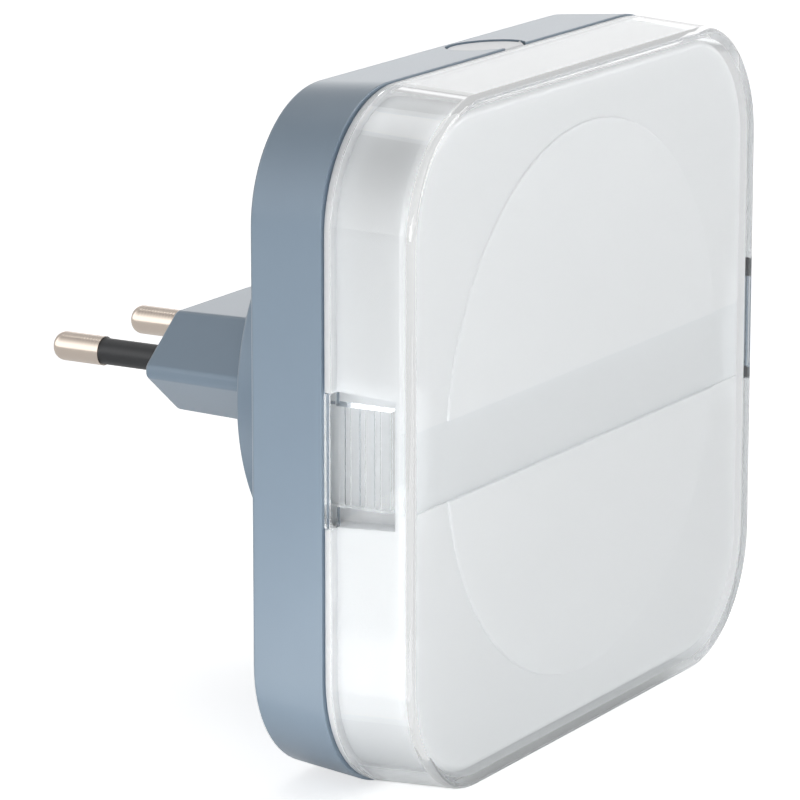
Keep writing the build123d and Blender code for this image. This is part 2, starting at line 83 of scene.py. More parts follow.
def at(axis, value):
    """A test for edges and faces that lie in a plane square to an axis."""
    return lambda part: all(abs(v.co[axis] - value) < 0.01 * MM for v in part.verts)


def along(axis):
    """A test for edges that run along an axis."""
    return lambda edge: abs((edge.verts[1].co - edge.verts[0].co).normalized()[axis]) > 0.95


def bevel(keep, width, segments):
    choose("EDGE", keep)
    bpy.ops.mesh.bevel(offset=width, segments=segments, affect="EDGES")


def push(depth):
    """Extrudes the selected faces along Y."""
    bpy.ops.mesh.extrude_region_move(TRANSFORM_OT_translate={"value": (0, depth, 0)})


def scale_across(share_x, share_z, x=0, z=0):
    """Scales the selected faces across Y, about a point."""
    bpy.ops.transform.resize(value=(share_x, 1, share_z), center_override=(x, 0, z))


def finish_place(name):
    """Names the active object, and puts its place and turn into its mesh."""
    piece = bpy.context.object
    piece.name = piece.data.name = name
    bpy.ops.object.transform_apply(location=True, rotation=True, scale=True)
    return piece


def add_box(name, low, high):
    bpy.ops.object.select_all(action="DESELECT")
    low, high = Vector(low), Vector(high)
    bpy.ops.mesh.primitive_cube_add(size=1, location=(low + high) / 2, scale=high - low)
    return finish_place(name)


def rounded_block(name, y_wall, y_room, size_wall, size_room, corner):
    """Square block with round corners between two depths, its room side a little smaller or larger."""
    width, height = size_wall
    block = add_box(name, (-width / 2, y_room, -height / 2), (width / 2, y_wall, height / 2))
    mode("EDIT")
    bevel(along(Y), corner, 20)
    choose("FACE", at(Y, y_room))
    scale_across(size_room[0] / width, size_room[1] / height)
    mode("OBJECT")
    return block


housing_low, housing_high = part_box("rear_housing")
bead_rise = 0.35 * MM
bead_width = 1.0 * MM
housing_wall = 2.0 * MM
housing_floor = 2.2 * MM
housing_draft = 0.85 * MM
housing_edge = 0.7 * MM
seam_edge = 0.2 * MM
core_taper = 0.98
corner_radius = 17 * MM
seam_y = housing_low.y + bead_rise
back_y = housing_high.y
floor_y = back_y - housing_floor
wall_slope = housing_draft / (back_y - seam_y)
body_width = housing_high.x - housing_low.x
body_height = housing_high.z - housing_low.z


def shrunk(inset):
    """Width and height of the body, less an inset on every side."""
    return body_width - 2 * inset, body_height - 2 * inset


housing = rounded_block("housing_shell", back_y, seam_y, shrunk(housing_draft), shrunk(0),
                        corner_radius - housing_draft)
mode("EDIT")
bevel(at(Y, back_y), housing_edge, 6)
bevel(at(Y, seam_y), seam_edge, 2)
choose("FACE", at(Y, seam_y))
bpy.ops.mesh.inset(thickness=housing_wall - bead_width - seam_edge)
push(-bead_rise)
bpy.ops.mesh.inset(thickness=bead_width)
push(floor_y - housing_low.y)
scale_across(core_taper, core_taper)
mode("OBJECT")


def activate(piece):
    """Selects this object only."""
    bpy.ops.object.select_all(action="DESELECT")
    bpy.context.view_layer.objects.active = piece
    piece.select_set(True)


def carve(piece, tool, operation="DIFFERENCE"):
    """Cuts the tool's shape out of the piece, or adds it, and removes the tool."""
    change = piece.modifiers.new("carve", "BOOLEAN")
    change.operation = operation
    change.object = tool
    change.solver = "EXACT"
    activate(piece)
    bpy.ops.object.modifier_apply(modifier=change.name)
    bpy.data.objects.remove(tool)


def add_rod(name, x, z, y_wall, y_room, radius, sides):
    """Round bar along Y between two depths."""
    bpy.ops.object.select_all(action="DESELECT")
    bpy.ops.mesh.primitive_cylinder_add(vertices=sides, radius=radius, depth=y_wall - y_room,
                                        location=(x, (y_wall + y_room) / 2, z), rotation=(pi / 2, 0, 0))
    return finish_place(name)


# A cutting tool reaches past what it cuts by a millimetre, and what is joined on reaches into
# its neighbour by a tenth.
past = 1 * MM
into = 0.1 * MM
boss_low, boss_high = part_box("plug_base")
boss_radius = (boss_high.x - boss_low.x) / 2
seat_gap = 0.1 * MM
opening_radius = 18.6 * MM
carve(housing, add_rod("seat_cut", 0, 0, back_y + past, boss_low.y, boss_radius + seat_gap, 128))
carve(housing, add_rod("opening_cut", 0, 0, back_y, floor_y - past, opening_radius, 128))


def side_box(name, side, x_ends, y_ends, z_ends):
    """Box on the left or right side of the lamp, its X counted outwards from the middle."""
    low_x, high_x = sorted(side * x for x in x_ends)
    return add_box(name, (low_x, y_ends[0], z_ends[0]), (high_x, y_ends[1], z_ends[1]))


base_screw_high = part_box("base_screws")[1]
board_screw_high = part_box("board_screws")[1]
board_low, board_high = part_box("circuit_board")
head_radius = 2.4 * MM
pilot_radius = 1.3 * MM
pilot_depth = 5.8 * MM
screw_clearance = 0.25 * MM
base_screw_x = base_screw_high.x - head_radius
post_x = board_screw_high.x - head_radius
post_z = board_screw_high.z - head_radius
post_radius = 3.2 * MM
rib_half = 0.6 * MM
rib_ends_y = (floor_y - 3 * MM, floor_y + into)
rib_end_inset = 2.1 * MM
for x_side in (-1, 1):
    for z_side in (-1, 1):
        x, z = x_side * post_x, z_side * post_z
        low_z, high_z = sorted((z, z_side * (body_height / 2 - rib_end_inset)))
        carve(housing, side_box("side_rib", x_side, (post_x, body_width / 2 - rib_end_inset), rib_ends_y,
                                (z - rib_half, z + rib_half)), "UNION")
        carve(housing, add_box("end_rib", (x - rib_half, rib_ends_y[0], low_z),
                               (x + rib_half, rib_ends_y[1], high_z)), "UNION")
        carve(housing, add_rod("post", x, z, floor_y + into, board_high.y, post_radius, 48), "UNION")
        carve(housing, add_rod("pilot", x, z, board_high.y + pilot_depth, board_high.y - past,
                               pilot_radius, 32))
        carve(housing, add_rod("screw_hole", x_side * base_screw_x, z_side * base_screw_x, back_y,
                               floor_y - past, pilot_radius + screw_clearance, 32))

cover_low, cover_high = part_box("clear_cover")
hook_tip_y = cover_high.y
hook_gap = 0.2 * MM
hook_outer_x = body_width / 2 - wall_slope * (hook_tip_y - seam_y) - housing_wall - hook_gap
hook_half = 6.4 * MM
hook_rise = 0.7 * MM
barb = 1.1 * MM
barb_gap = 0.15 * MM
catch = 0.8 * MM
pocket_gap = 0.4 * MM
pocket_half = hook_half + pocket_gap
for side in (-1, 1):
    carve(housing, side_box("hook_pocket", side, (hook_outer_x - past, hook_outer_x + barb + barb_gap),
                            (hook_tip_y - catch - barb - into, hook_tip_y + pocket_gap),
                            (hook_rise - pocket_half, hook_rise + pocket_half)))


def add_post(name, x, y, z_low, z_high, radius, sides):
    """Round bar along Z between two heights."""
    bpy.ops.object.select_all(action="DESELECT")
    bpy.ops.mesh.primitive_cylinder_add(vertices=sides, radius=radius, depth=z_high - z_low,
                                        location=(x, y, (z_high + z_low) / 2))
    return finish_place(name)


button_low, button_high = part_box("push_button")
button_radius = 5.0 * MM
button_gap = 0.25 * MM
button_x = (button_low.x + button_high.x) / 2
button_setback = 4.5 * MM
button_y = seam_y + button_setback
button_cut_z = (body_height / 2 - 10 * MM, body_height / 2 + 10 * MM)
carve(housing, add_post("button_cut", button_x, button_y, *button_cut_z, button_radius + button_gap, 96))


def linear(hex_colour):
    """An sRGB hex colour as the linear RGBA that shaders take."""
    shares = [int(hex_colour[i:i + 2], 16) / 255 for i in (1, 3, 5)]
    return [s / 12.92 if s <= 0.04045 else ((s + 0.055) / 1.055) ** 2.4 for s in shares] + [1.0]


def emptied(owner):
    """Gives a new material or world an empty node tree."""
    owner.use_nodes = True
    owner.node_tree.nodes.clear()
    return owner


def new_material(name):
    return emptied(bpy.data.materials.new(name))


def add_node(owner, kind, inputs, **settings):
    """Adds a node with its settings, and gives each input that is named a value, a hex colour or a
    link. A link comes from a socket, or from the first output of a node that is in use. A Mix node
    has its two colours at inputs 6 and 7, and its two numbers at 2 and 3."""
    node = owner.node_tree.nodes.new("ShaderNode" + kind)
    for name, value in settings.items():
        setattr(node, name, value)
    for name, value in inputs.items():
        if isinstance(value, str):
            value = linear(value)
        if isinstance(value, bpy.types.Node):
            value = next(output for output in value.outputs if output.enabled)
        if isinstance(value, bpy.types.NodeSocket):
            owner.node_tree.links.new(value, node.inputs[name])
        else:
            node.inputs[name].default_value = value
    return node


def smooth(piece, material, body, slot, *replaced):
    """Last steps of a piece: soft shading that keeps flats flat, its finish, and what it rides on."""
    activate(piece)
    bpy.ops.object.shade_smooth_by_angle(angle=radians(32))
    flats = piece.modifiers.new("flats", "WEIGHTED_NORMAL")
    flats.keep_sharp = True
    bpy.ops.object.modifier_apply(modifier=flats.name)
    piece.data.materials.clear()
    piece.data.materials.append(material)
    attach(piece, body)
    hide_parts(*replaced)


# The moulded skin is smooth resin over the cavity's fine grain, which gives wide, soft highlights
# on a matt body. Grain here and on the other moulded pieces is really about 0.05 mm, and drawn
# several times as coarse so that it can show.
slate = new_material("slate_abs_satin_moulded")
place = add_node(slate, "TexCoord", {}).outputs["Object"]
cloud = add_node(slate, "TexNoise", {"Vector": place, "Scale": 1 / (18 * MM), "Detail": 3.0})
tone = add_node(slate, "Mix", {"Factor": cloud, 6: "#8495a6", 7: "#8d9faf"}, data_type="RGBA")
grain = add_node(slate, "TexNoise", {"Vector": place, "Scale": 1 / (0.3 * MM), "Detail": 2.0})
rough = add_node(slate, "MapRange", {"Value": grain, "To Min": 0.28, "To Max": 0.38})
bump = add_node(slate, "Bump", {"Height": grain, "Distance": 0.012 * MM})
shader = add_node(slate, "BsdfPrincipled", {"Base Color": tone, "Roughness": rough, "Normal": bump,
                                            "IOR": 1.4, "Coat Weight": 1.0, "Coat Roughness": 0.3,
                                            "Coat IOR": 1.3})
add_node(slate, "OutputMaterial", {"Surface": shader})
smooth(housing, slate, "lamp", "slate_abs", "rear_housing")


# ---------------------------------------------------------------- boss and plug body
# Round boss and flat six-sided plug in one moulding of the same ABS, screwed to the housing
# from inside. The boss is hollow; the plug body is solid round its two pins.
boss_rear_y = 0.0
boss_edge = 0.6 * MM
boss_wall = 2.2 * MM
boss_plate = 2.4 * MM
boss_post_radius = 2.9 * MM
boss = add_rod("plug_body", 0, 0, boss_rear_y, boss_low.y, boss_radius, 160)
mode("EDIT")
bevel(at(Y, boss_rear_y), boss_edge, 4)
choose("FACE", at(Y, boss_low.y))
bpy.ops.mesh.inset(thickness=boss_wall)
push(-boss_plate - boss_low.y)
mode("OBJECT")
for x in (-base_screw_x, base_screw_x):
    for z in (-base_screw_x, base_screw_x):
        carve(boss, add_rod("screw_boss", x, z, into - boss_plate, boss_low.y, boss_post_radius, 48),
              "UNION")
        carve(boss, add_rod("pilot", x, z, boss_low.y + pilot_depth, boss_low.y - past, pilot_radius, 32))

plug_half_width = 17.4 * MM
plug_half_height = 7.3 * MM
plug_half_flat = 9.5 * MM
plug_half_side = 0.8 * MM
plug_root_y = -0.5 * MM
plug_end_y = 20.4 * MM
plug_draft = 0.5 * MM
plug_corner = 0.5 * MM
plug_edge = 0.6 * MM
plug = add_box("plug_blank", (-plug_half_flat, plug_root_y, -plug_half_height),
               (plug_half_flat, plug_end_y, plug_half_height))
mode("EDIT")
for side in (-1, 1):
    choose("FACE", at(X, side * plug_half_flat))
    to_side = side * (plug_half_width - plug_half_flat)
    bpy.ops.mesh.extrude_region_move(TRANSFORM_OT_translate={"value": (to_side, 0, 0)})
    scale_across(1, plug_half_side / plug_half_height)
for end_y in (plug_root_y, plug_end_y):
    choose("FACE", at(Y, end_y))
    bpy.ops.mesh.dissolve_faces()
choose("FACE", at(Y, plug_end_y))
scale_across(1 - plug_draft / plug_half_width, 1 - plug_draft / plug_half_height)
bevel(along(Y), plug_corner, 4)
bevel(at(Y, plug_end_y), plug_edge, 4)
mode("OBJECT")
carve(boss, plug, "UNION")
pin_low, pin_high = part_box("plug_pin_right")
pin_x = (pin_low.x + pin_high.x) / 2
sleeve_low, sleeve_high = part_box("pin_sleeve_right")
sleeve_radius = (sleeve_high.x - sleeve_low.x) / 2
press_gap = 0.02 * MM
shank_radius = 1.7 * MM
for x in (-pin_x, pin_x):
    carve(boss, add_rod("sleeve_hole", x, 0, plug_end_y + past, sleeve_low.y, sleeve_radius + press_gap, 64))
    carve(boss, add_rod("shank_hole", x, 0, plug_end_y, -2 * boss_plate, shank_radius + press_gap, 64))
smooth(boss, slate, "lamp", "slate_abs", "plug_base")


# ---------------------------------------------------------------- pins
# Two turned brass pins with bright nickel plating and round tips. The plating keeps the turning
# rings, which give the tips soft bands, and a faint haze dulls it in places. The rings are really
# about 0.1 mm apart, and drawn at 0.5 mm so that they can show.
pin_radius = 2.0 * MM
pin_tip = 1.5 * MM
neck_radius = 1.5 * MM
collar_radius = 3.0 * MM
collar_y = -boss_plate - 1 * MM
rivet_radius = 1.2 * MM
rivet_head_radius = 1.7 * MM
rivet_head_y = pin_low.y + 0.6 * MM
ring_pitch = 0.5 * MM
nickel = new_material("nickel_plate_turned")
place = add_node(nickel, "TexCoord", {}).outputs["Object"]
rings = add_node(nickel, "TexWave", {"Vector": place, "Scale": 1 / ring_pitch / pi, "Distortion": 0.4},
                 bands_direction="Y")
haze = add_node(nickel, "TexNoise", {"Vector": place, "Scale": 1 / (1.5 * MM)})
rough = add_node(nickel, "MapRange", {"Value": haze, "To Min": 0.16, "To Max": 0.3})
bump = add_node(nickel, "Bump", {"Height": rings.outputs["Fac"], "Distance": 0.004 * MM})
shader = add_node(nickel, "BsdfPrincipled", {"Base Color": "#dccfc3", "Roughness": rough, "Normal": bump,
                                             "Metallic": 1.0})
add_node(nickel, "OutputMaterial", {"Surface": shader})
for side, name in ((-1, "left"), (1, "right")):
    pin = add_rod("pin_" + name, side * pin_x, 0, pin_high.y, sleeve_high.y, pin_radius, 64)
    mode("EDIT")
    bevel(at(Y, pin_high.y), pin_tip, 8)
    choose("FACE", at(Y, sleeve_high.y))
    last_radius, here = pin_radius, sleeve_high.y
    for radius, end in ((neck_radius, sleeve_low.y), (shank_radius, -boss_plate), (collar_radius, collar_y),
                        (rivet_radius, rivet_head_y), (rivet_head_radius, pin_low.y)):
        push(0)
        scale_across(radius / last_radius, radius / last_radius, side * pin_x)
        push(end - here)
        last_radius, here = radius, end
    mode("OBJECT")
    smooth(pin, nickel, "lamp", "nickel", "plug_pin_" + name)


# ---------------------------------------------------------------- sleeves
# Black PBT sleeves moulded over the necks of the pins, so that a finger can't touch live metal.
# The mould's fine grain keeps them satin, with no more than a dull gleam along the top.
black = new_material("black_pbt_moulded")
place = add_node(black, "TexCoord", {}).outputs["Object"]
grain = add_node(black, "TexNoise", {"Vector": place, "Scale": 1 / (0.25 * MM), "Detail": 2.0})
tone = add_node(black, "Mix", {"Factor": grain, 6: "#17181a", 7: "#26282b"}, data_type="RGBA")
bump = add_node(black, "Bump", {"Height": grain, "Distance": 0.008 * MM})
shader = add_node(black, "BsdfPrincipled", {"Base Color": tone, "Roughness": 0.42, "Normal": bump,
                                            "IOR": 1.55})
add_node(black, "OutputMaterial", {"Surface": shader})
for side, name in ((-1, "left"), (1, "right")):
    sleeve = add_rod("sleeve_" + name, side * pin_x, 0, sleeve_high.y, sleeve_low.y, sleeve_radius, 64)
    carve(sleeve, add_rod("bore", side * pin_x, 0, sleeve_high.y + past, sleeve_low.y - past,
                          neck_radius + press_gap, 64))
    smooth(sleeve, black, "lamp", "black_pbt", "pin_sleeve_" + name)


# ---------------------------------------------------------------- contact strips
# Two strips cut and bent from rolled phosphor bronze, riveted on the pins and soldered into the
# board. Rolling leaves fine lines along the metal, and its warm colour is a little tarnished.
def finish_part(name, material):
    """Gives its real finish to a part that keeps its shape."""
    for part_slot in bpy.data.objects[name].material_slots:
        part_slot.material = material


line_stretch = 0.06
bronze = new_material("phosphor_bronze_rolled")
place = add_node(bronze, "TexCoord", {}).outputs["Object"]
rolled = add_node(bronze, "Mapping", {"Vector": place, "Scale": (line_stretch, line_stretch, 1)})
lines = add_node(bronze, "TexNoise", {"Vector": rolled, "Scale": 1 / (0.15 * MM)})
tarnish = add_node(bronze, "TexNoise", {"Vector": place, "Scale": 1 / (3 * MM)})
tone = add_node(bronze, "Mix", {"Factor": tarnish, 6: "#d09a60", 7: "#a87446"}, data_type="RGBA")
rough = add_node(bronze, "MapRange", {"Value": lines, "To Min": 0.2, "To Max": 0.45})
bump = add_node(bronze, "Bump", {"Height": lines, "Distance": 0.004 * MM})
shader = add_node(bronze, "BsdfPrincipled", {"Base Color": tone, "Roughness": rough, "Normal": bump,
                                             "Metallic": 1.0})
add_node(bronze, "OutputMaterial", {"Surface": shader})
finish_part("contact_strip_left", bronze)
finish_part("contact_strip_right", bronze)


# ---------------------------------------------------------------- circuit board
# Glass-epoxy board on the housing's four posts. Green solder mask covers both faces and shows the
# copper areas below it as lighter, slightly raised fields; the sawn edge stays straw yellow.
board_middle_y = (board_low.y + board_high.y) / 2
edge_half = 0.77 * MM
copper_field = 7 * MM
copper_gap = 0.35 * MM
weave_share = 0.15
mask_green = new_material("solder_mask_on_glass_epoxy")
place = add_node(mask_green, "TexCoord", {}).outputs["Object"]
part = add_node(mask_green, "SeparateXYZ", {"Vector": place})
flat_place = add_node(mask_green, "CombineXYZ", {"X": part.outputs["Z"], "Y": part.outputs["X"]})
fields = add_node(mask_green, "TexBrick", {"Vector": flat_place, "Scale": 1.0, "Color1": "#1f7a45",
                                           "Color2": "#24824b", "Mortar": "#0f5a30",
                                           "Mortar Size": copper_gap, "Mortar Smooth": 0.2,
                                           "Brick Width": 2 * copper_field, "Row Height": copper_field})
weave = add_node(mask_green, "TexNoise", {"Vector": place, "Scale": 1 / (0.5 * MM)})
cut_edge = add_node(mask_green, "Math", {0: part.outputs["Y"], 1: board_middle_y, 2: edge_half},
                    operation="COMPARE")
tone = add_node(mask_green, "Mix", {"Factor": cut_edge, 6: fields.outputs["Color"], 7: "#b5a86a"},
                data_type="RGBA")
rough = add_node(mask_green, "MapRange", {"Value": cut_edge, "To Min": 0.28, "To Max": 0.7})
relief = add_node(mask_green, "Math", {0: weave, 1: weave_share, 2: fields.outputs["Fac"]},
                  operation="MULTIPLY_ADD")
bump = add_node(mask_green, "Bump", {"Height": relief, "Distance": 0.03 * MM}, invert=True)
shader = add_node(mask_green, "BsdfPrincipled", {"Base Color": tone, "Roughness": rough, "Normal": bump,
                                                 "IOR": 1.55})
add_node(mask_green, "OutputMaterial", {"Surface": shader})
finish_part("circuit_board", mask_green)


# ---------------------------------------------------------------- LEDs
# Six surface-mounted LEDs on the lit side: white moulded packages, each with a shallow window that
# is filled with clear resin full of yellow phosphor. Its grains are drawn at 0.12 mm, some ten
# times as coarse as they are, so that they can show.
window_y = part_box("leds")[0].y + 0.15 * MM
window_half = 0.05 * MM
led_package = new_material("led_package_and_phosphor")
place = add_node(led_package, "TexCoord", {}).outputs["Object"]
part = add_node(led_package, "SeparateXYZ", {"Vector": place})
grains = add_node(led_package, "TexNoise", {"Vector": place, "Scale": 1 / (0.12 * MM)})
phosphor = add_node(led_package, "Mix", {"Factor": grains, 6: "#e9c64c", 7: "#f4de7c"}, data_type="RGBA")
window = add_node(led_package, "Math", {0: part.outputs["Y"], 1: window_y, 2: window_half},
                  operation="COMPARE")
tone = add_node(led_package, "Mix", {"Factor": window, 6: "#eeeeea", 7: phosphor}, data_type="RGBA")
rough = add_node(led_package, "MapRange", {"Value": window, "To Min": 0.5, "To Max": 0.22})
bump = add_node(led_package, "Bump", {"Height": grains, "Distance": 0.01 * MM})
shader = add_node(led_package, "BsdfPrincipled", {"Base Color": tone, "Roughness": rough, "Normal": bump,
                                                  "IOR": 1.5})
add_node(led_package, "OutputMaterial", {"Surface": shader})
finish_part("leds", led_package)


# ---------------------------------------------------------------- film capacitor
# Box-type film capacitor that drops the mains voltage: a yellow moulded case with a satin skin and
# tinned copper leads, soldered into the board.
below_board_y = board_high.y - 0.01 * MM
film_yellow = new_material("film_capacitor_moulded_case")
place = add_node(film_yellow, "TexCoord", {}).outputs["Object"]
part = add_node(film_yellow, "SeparateXYZ", {"Vector": place})
skin = add_node(film_yellow, "TexNoise", {"Vector": place, "Scale": 1 / (0.4 * MM), "Detail": 3.0})
case = add_node(film_yellow, "Mix", {"Factor": skin, 6: "#d9aa1c", 7: "#e8bd33"}, data_type="RGBA")
wire = add_node(film_yellow, "Math", {0: part.outputs["Y"], 1: below_board_y}, operation="LESS_THAN")
tone = add_node(film_yellow, "Mix", {"Factor": wire, 6: case, 7: "#c9ccce"}, data_type="RGBA")
rough = add_node(film_yellow, "MapRange", {"Value": wire, "To Min": 0.42, "To Max": 0.3})
bump = add_node(film_yellow, "Bump", {"Height": skin, "Distance": 0.012 * MM})
shader = add_node(film_yellow, "BsdfPrincipled", {"Base Color": tone, "Roughness": rough, "Normal": bump,
                                                  "IOR": 1.5, "Metallic": wire})
add_node(film_yellow, "OutputMaterial", {"Surface": shader})
finish_part("film_capacitor", film_yellow)


# ---------------------------------------------------------------- filter capacitor
# Electrolytic capacitor: a drawn aluminium can in a shrunk dark sleeve with one pale stripe that
# marks the negative lead. The bare metal shows on the end, where the sleeve curls over.
can_low, can_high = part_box("filter_capacitor")
can_x = (can_low.x + can_high.x) / 2
can_z = (can_low.z + can_high.z) / 2
curl_radius = 3.1 * MM
curl_y = can_high.y - 0.5 * MM
stripe_x = 2.2 * MM
stripe_half = 1.3 * MM
can_sleeve = new_material("aluminium_can_in_shrunk_sleeve")
place = add_node(can_sleeve, "TexCoord", {}).outputs["Object"]
centred = add_node(can_sleeve, "Mapping", {"Vector": place, "Location": (-can_x, 0, -can_z)})
part = add_node(can_sleeve, "SeparateXYZ", {"Vector": centred})
across = add_node(can_sleeve, "CombineXYZ", {"X": part.outputs["X"], "Z": part.outputs["Z"]})
from_axis = add_node(can_sleeve, "VectorMath", {0: across}, operation="LENGTH")
inner = add_node(can_sleeve, "Math", {0: from_axis.outputs["Value"], 1: curl_radius}, operation="LESS_THAN")
near_end = add_node(can_sleeve, "Math", {0: part.outputs["Y"], 1: curl_y}, operation="GREATER_THAN")
wire = add_node(can_sleeve, "Math", {0: part.outputs["Y"], 1: below_board_y}, operation="LESS_THAN")
bare_end = add_node(can_sleeve, "Math", {0: inner, 1: near_end}, operation="MULTIPLY")
metal = add_node(can_sleeve, "Math", {0: bare_end, 1: wire}, operation="MAXIMUM")
on_side = add_node(can_sleeve, "Math", {0: part.outputs["X"], 1: stripe_x}, operation="GREATER_THAN")
in_middle = add_node(can_sleeve, "Math", {0: part.outputs["Z"], 1: 0.0, 2: stripe_half}, operation="COMPARE")
stripe = add_node(can_sleeve, "Math", {0: on_side, 1: in_middle}, operation="MULTIPLY")
film = add_node(can_sleeve, "Mix", {"Factor": stripe, 6: "#23303f", 7: "#b4bcc6"}, data_type="RGBA")
tone = add_node(can_sleeve, "Mix", {"Factor": metal, 6: film, 7: "#d3d6da"}, data_type="RGBA")
wrinkles = add_node(can_sleeve, "TexNoise", {"Vector": place, "Scale": 1 / (0.8 * MM)})
rough = add_node(can_sleeve, "MapRange", {"Value": wrinkles, "To Min": 0.22, "To Max": 0.36})
bump = add_node(can_sleeve, "Bump", {"Height": wrinkles, "Distance": 0.01 * MM})
shader = add_node(can_sleeve, "BsdfPrincipled", {"Base Color": tone, "Roughness": rough, "Normal": bump,
                                                 "Metallic": metal})
add_node(can_sleeve, "OutputMaterial", {"Surface": shader})
finish_part("filter_capacitor", can_sleeve)


# ---------------------------------------------------------------- fusible resistor
# Wire-ended fusible resistor: a ceramic rod dipped in grey-green cement, which dries matt and a
# little uneven, with three printed rings and tinned leads bent down into the board.
resistor_low, resistor_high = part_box("fusible_resistor")
resistor_x = (resistor_low.x + resistor_high.x) / 2
ring_half = 0.35 * MM
rod_half = 4.49 * MM
cement = new_material("cement_coated_resistor")
place = add_node(cement, "TexCoord", {}).outputs["Object"]
part = add_node(cement, "SeparateXYZ", {"Vector": place})
uneven = add_node(cement, "TexNoise", {"Vector": place, "Scale": 1 / (0.5 * MM), "Detail": 3.0})
tone = add_node(cement, "Mix", {"Factor": uneven, 6: "#86a094", 7: "#94ada1"}, data_type="RGBA")
for ring_x, ring_colour in ((-2.6 * MM, "#7a4326"), (-1.2 * MM, "#2f2d2c"), (0.2 * MM, "#8a2f22")):
    ring = add_node(cement, "Math", {0: part.outputs["X"], 1: resistor_x + ring_x, 2: ring_half},
                    operation="COMPARE")
    tone = add_node(cement, "Mix", {"Factor": ring, 6: tone, 7: ring_colour}, data_type="RGBA")
rod = add_node(cement, "Math", {0: part.outputs["X"], 1: resistor_x, 2: rod_half}, operation="COMPARE")
wire = add_node(cement, "Math", {0: 1.0, 1: rod}, operation="SUBTRACT")
tone = add_node(cement, "Mix", {"Factor": wire, 6: tone, 7: "#c9ccce"}, data_type="RGBA")
rough = add_node(cement, "MapRange", {"Value": wire, "To Min": 0.7, "To Max": 0.3})
bump = add_node(cement, "Bump", {"Height": uneven, "Distance": 0.03 * MM})
shader = add_node(cement, "BsdfPrincipled", {"Base Color": tone, "Roughness": rough, "Normal": bump,
                                             "Metallic": wire})
add_node(cement, "OutputMaterial", {"Surface": shader})
finish_part("fusible_resistor", cement)


# ---------------------------------------------------------------- moulded chips
# Control chip, bridge rectifier and zener diode in black moulded epoxy, ground matt by its glass
# filler. Their legs are stamped copper with a dip of tin, bent out flat on the board.
chip_row_z = 25 * MM
chip_half = 1.96 * MM
diode_x = 13.5 * MM
diode_half = 2.16 * MM
for name, way, body_middle, body_half in (("control_chip", "Z", chip_row_z, chip_half),
                                          ("bridge_rectifier", "Z", chip_row_z, chip_half),
                                          ("zener_diode", "X", diode_x, diode_half)):
    epoxy = new_material("moulded_epoxy_" + name)
    place = add_node(epoxy, "TexCoord", {}).outputs["Object"]
    part = add_node(epoxy, "SeparateXYZ", {"Vector": place})
    filler = add_node(epoxy, "TexNoise", {"Vector": place, "Scale": 1 / (0.1 * MM)})
    ground = add_node(epoxy, "Mix", {"Factor": filler, 6: "#1c1c1f", 7: "#2b2b2e"}, data_type="RGBA")
    body = add_node(epoxy, "Math", {0: part.outputs[way], 1: body_middle, 2: body_half}, operation="COMPARE")
    leg = add_node(epoxy, "Math", {0: 1.0, 1: body}, operation="SUBTRACT")
    tone = add_node(epoxy, "Mix", {"Factor": leg, 6: ground, 7: "#cdd0d2"}, data_type="RGBA")
    rough = add_node(epoxy, "MapRange", {"Value": leg, "To Min": 0.6, "To Max": 0.3})
    bump = add_node(epoxy, "Bump", {"Height": filler, "Distance": 0.006 * MM})
    shader = add_node(epoxy, "BsdfPrincipled", {"Base Color": tone, "Roughness": rough, "Normal": bump,
                                                "IOR": 1.55, "Metallic": leg})
    add_node(epoxy, "OutputMaterial", {"Surface": shader})
    finish_part(name, epoxy)


# ---------------------------------------------------------------- chip resistors
# Five thick-film chip resistors: a white ceramic plate with a black glazed top and solder-dipped
# ends that carry the light of the tin.
resistor_row_z = -25 * MM
bare_half = 1.15 * MM
glaze_y = board_high.y + 0.45 * MM
chip_film = new_material("thick_film_on_ceramic")
place = add_node(chip_film, "TexCoord", {}).outputs["Object"]
part = add_node(chip_film, "SeparateXYZ", {"Vector": place})
glaze = add_node(chip_film, "TexNoise", {"Vector": place, "Scale": 1 / (0.3 * MM)})
on_top = add_node(chip_film, "Math", {0: part.outputs["Y"], 1: glaze_y}, operation="GREATER_THAN")
plate = add_node(chip_film, "Mix", {"Factor": on_top, 6: "#e6e3d9", 7: "#1a1b1e"}, data_type="RGBA")
body = add_node(chip_film, "Math", {0: part.outputs["Z"], 1: resistor_row_z, 2: bare_half},
                operation="COMPARE")
tin = add_node(chip_film, "Math", {0: 1.0, 1: body}, operation="SUBTRACT")
tone = add_node(chip_film, "Mix", {"Factor": tin, 6: plate, 7: "#cfd2d3"}, data_type="RGBA")
rough = add_node(chip_film, "MapRange", {"Value": glaze, "To Min": 0.22, "To Max": 0.36})
bump = add_node(chip_film, "Bump", {"Height": glaze, "Distance": 0.01 * MM})
shader = add_node(chip_film, "BsdfPrincipled", {"Base Color": tone, "Roughness": rough, "Normal": bump,
                                                "Metallic": tin})
add_node(chip_film, "OutputMaterial", {"Surface": shader})
finish_part("chip_resistors", chip_film)


